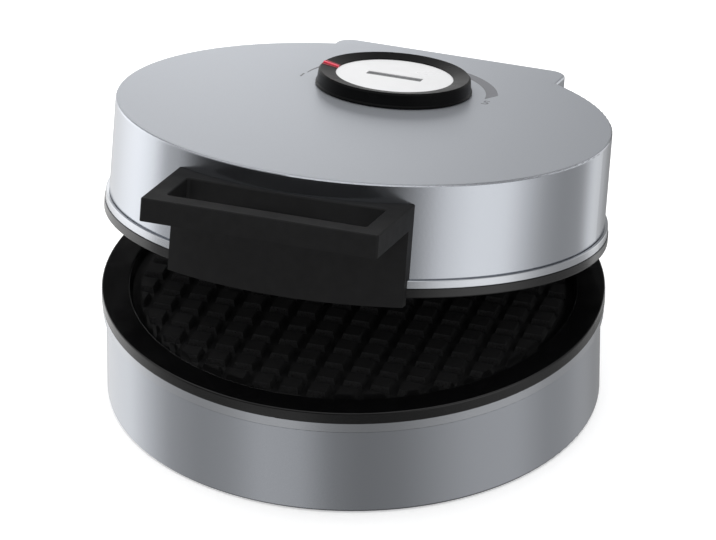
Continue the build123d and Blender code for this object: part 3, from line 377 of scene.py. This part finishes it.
floor = link("floor", grid_mesh("floor", 6), Matrix.Identity(4))
floor_paper = Shader("floor_pale", (0.9, 0.9, 0.9), roughness=0.7, Emission_Strength=0.35)
floor_paper.set("Emission Color", (1, 1, 1, 1))
floor_paper.vary_color(floor_paper.noise(5), (0.89, 0.89, 0.89))
floor.data.materials.append(floor_paper.material)
floor.visible_glossy = False

# ---------------------------------------------------------------- studio
# The studio as the object mirrors it: brightness by compass direction in degrees, from -180 to
# 180 with 0 at the right, at the horizon, below it and above it, and one brightness straight
# down and straight up. All else sees an even white dome.
HORIZON = [
    (-180, 1.3), (-171, 0.55), (-162, 0.55), (-156, 0.25), (-148, 0.05), (-120, 0.03), (-62, 0.04),
    (-46, 0.45), (-36, 0.9), (-22, 1.16), (-5, 1.16), (6, 0.8), (18, 0.46), (30, 0.36), (42, 0.4),
    (56, 0.8), (70, 1.0), (85, 0.33), (105, 0.22), (125, 0.8), (147, 1.62), (166, 1.65), (180, 1.3),
]
BELOW = [
    (-180, 0.66), (-168, 0.43), (-149, 0.35), (-132, 0.4), (-116, 0.58), (-97, 0.54), (-83, 0.3),
    (-69, 0.24), (-50, 0.26), (-38, 0.32), (-15, 0.45), (10, 0.5), (30, 0.36), (45, 0.38),
    (58, 0.45), (70, 0.41), (80, 0.33), (100, 0.32), (124, 0.92), (160, 1.05), (180, 0.66),
]
ABOVE = [
    (-180, 0.7), (-150, 0.5), (-60, 0.4), (20, 0.5), (60, 0.2), (85, 0.04), (130, 0.04), (150, 0.5),
    (180, 0.7),
]
BENEATH = 0.1
OVERHEAD = 0.9
DOME = 0.85

# Heights, as the upward part of a direction, between which one band turns into the next.
BENEATH_TO_BELOW = (-0.85, -0.6)
BELOW_TO_HORIZON = (-0.48, -0.3)
HORIZON_TO_ABOVE = (0.12, 0.4)
ABOVE_TO_OVERHEAD = (0.65, 0.85)

# A colour ramp ends at 1, so brightness is stored at half its value and the world doubles it.
RAMP_SHARE = 0.5


def even(brightness):
    """Grey of one brightness."""
    return (*[brightness * RAMP_SHARE] * 3, 1)


def compass_ramp(tree, stops, turn):
    """Brightness by compass direction, where turn goes from 0 to 1 round the compass."""
    ramp = tree.nodes.new("ShaderNodeValToRGB")
    elements = ramp.color_ramp.elements
    while len(elements) < len(stops):
        elements.new(0.5)
    for element, (angle, brightness) in zip(elements, stops):
        element.position = (angle + 180) / 360
        element.color = even(brightness)
    tree.links.new(turn, ramp.inputs["Fac"])
    return ramp.outputs["Color"]


def mix_colors(tree, factor, first, second):
    """A colour between two. Each is a colour or the socket that gives it."""
    mix = tree.nodes.new("ShaderNodeMix")
    mix.data_type = "RGBA"
    tree.links.new(factor, mix.inputs["Factor"])
    for socket, value in zip(mix.inputs[6:8], (first, second)):
        if isinstance(value, tuple):
            socket.default_value = value
        else:
            tree.links.new(value, socket)
    return mix.outputs[2]


def blend_bands(tree, height, heights, lower, upper):
    """The lower band up to the first height and the upper one from the second on."""
    level = tree.nodes.new("ShaderNodeMapRange")
    level.interpolation_type = "SMOOTHSTEP"
    level.inputs["From Min"].default_value, level.inputs["From Max"].default_value = heights
    tree.links.new(height, level.inputs["Value"])
    return mix_colors(tree, level.outputs["Result"], lower, upper)


def studio_world():
    """World that mirror-like rays see as the bands above and all other rays as the dome."""
    world = bpy.data.worlds.new("studio")
    world.use_nodes = True
    tree = world.node_tree
    direction = tree.nodes.new("ShaderNodeSeparateXYZ")
    tree.links.new(tree.nodes.new("ShaderNodeTexCoord").outputs["Generated"], direction.inputs[0])
    heading = math_node(tree, "ARCTAN2", direction.outputs["Y"], direction.outputs["X"])
    turn = math_node(tree, "ADD", math_node(tree, "DIVIDE", heading, 2 * math.pi), 0.5)
    sky = compass_ramp(tree, BELOW, turn)
    height = direction.outputs["Z"]
    sky = blend_bands(tree, height, BELOW_TO_HORIZON, sky, compass_ramp(tree, HORIZON, turn))
    sky = blend_bands(tree, height, BENEATH_TO_BELOW, even(BENEATH), sky)
    sky = blend_bands(tree, height, HORIZON_TO_ABOVE, sky, compass_ramp(tree, ABOVE, turn))
    sky = blend_bands(tree, height, ABOVE_TO_OVERHEAD, sky, even(OVERHEAD))
    glossy = tree.nodes.new("ShaderNodeLightPath").outputs["Is Glossy Ray"]
    background = tree.nodes["Background"]
    tree.links.new(mix_colors(tree, glossy, even(DOME), sky), background.inputs["Color"])
    background.inputs["Strength"].default_value = 1 / RAMP_SHARE
    return world


def soft_light(name, place, target, size, power):
    """A square softbox that lights, but whose own shape shows in no reflection."""
    light = bpy.data.lights.new(name, "AREA")
    light.shape = "RECTANGLE"
    light.size, light.size_y = size, size
    light.energy = power
    aim_at = (Vector(target) - Vector(place)).to_track_quat("-Z", "Y").to_matrix().to_4x4()
    link(name, light, Matrix.Translation(place) @ aim_at).visible_glossy = False


def glow_material(name, strength):
    """Clear, with a glow that is full half way along X and fades out to both sides."""
    material = bpy.data.materials.new(name)
    material.use_nodes = True
    tree = material.node_tree
    tree.nodes.clear()
    place = tree.nodes.new("ShaderNodeSeparateXYZ")
    tree.links.new(tree.nodes.new("ShaderNodeTexCoord").outputs["Object"], place.inputs[0])
    ramp = tree.nodes.new("ShaderNodeValToRGB")
    ramp.color_ramp.interpolation = "EASE"
    for element in ramp.color_ramp.elements:
        element.color = (0, 0, 0, 1)
    ramp.color_ramp.elements.new(0.5).color = (1, 1, 1, 1)
    tree.links.new(math_node(tree, "ADD", place.outputs["X"], 0.5), ramp.inputs["Fac"])
    glow = tree.nodes.new("ShaderNodeEmission")
    glow.inputs["Strength"].default_value = strength
    tree.links.new(ramp.outputs["Color"], glow.inputs["Color"])
    both = tree.nodes.new("ShaderNodeAddShader")
    tree.links.new(glow.outputs[0], both.inputs[0])
    tree.links.new(tree.nodes.new("ShaderNodeBsdfTransparent").outputs[0], both.inputs[1])
    tree.links.new(both.outputs[0], tree.nodes.new("ShaderNodeOutputMaterial").inputs["Surface"])
    return material


def glow_card(name, place, width, height, strength):
    """An upright card that faces the front, seen only in reflections."""
    upright = Matrix.Rotation(math.pi / 2, 4, "X") @ Matrix.Diagonal((width, height, 1, 1))
    card = link(name, grid_mesh(name, 0.5), Matrix.Translation(place) @ upright)
    card.data.materials.append(glow_material(name, strength))
    card.visible_camera = False
    card.visible_diffuse = False
    card.visible_shadow = False


bpy.context.scene.world = studio_world()
soft_light("top_box", (-0.3, 0.2, 1.6), (0, 0, 0.06), 2.0, 16)
# The rear card gives the lid's top its gradient. The side card is low and near, so that the
# right end of the lid's wall mirrors it and the base's doesn't.
glow_card("rear_card", (-0.25, 0.55, 0.15), 0.56, 0.2, 1.25)
glow_card("side_card", (0.192, 0.17, 0.01), 0.17, 0.09, 0.52)

bpy.context.scene.view_settings.view_transform = "Standard"

# ---------------------------------------------------------------- camera
LENS = 452.05
SENSOR_W = 36
DISTANCE = 4.0
CAMERA_RIGHT = Vector((0.95202, 0.30604, 0))
CAMERA_BACK = Vector((0.26391, -0.82097, 0.50634)).normalized()
AIM = Vector((0.000968, -0.003851, 0.057398))
AIM_RIGHT, AIM_UP = -0.0001, -0.00058      # small shift of the aim across the picture

camera_data = bpy.data.cameras.new("camera")
camera_data.sensor_width = SENSOR_W
camera_data.lens = LENS
up = CAMERA_BACK.cross(CAMERA_RIGHT).normalized()
right = up.cross(CAMERA_BACK).normalized()
spot = AIM + right * AIM_RIGHT + up * AIM_UP + CAMERA_BACK * DISTANCE
bpy.context.scene.camera = link("camera", camera_data, placed(right, up, CAMERA_BACK, spot))
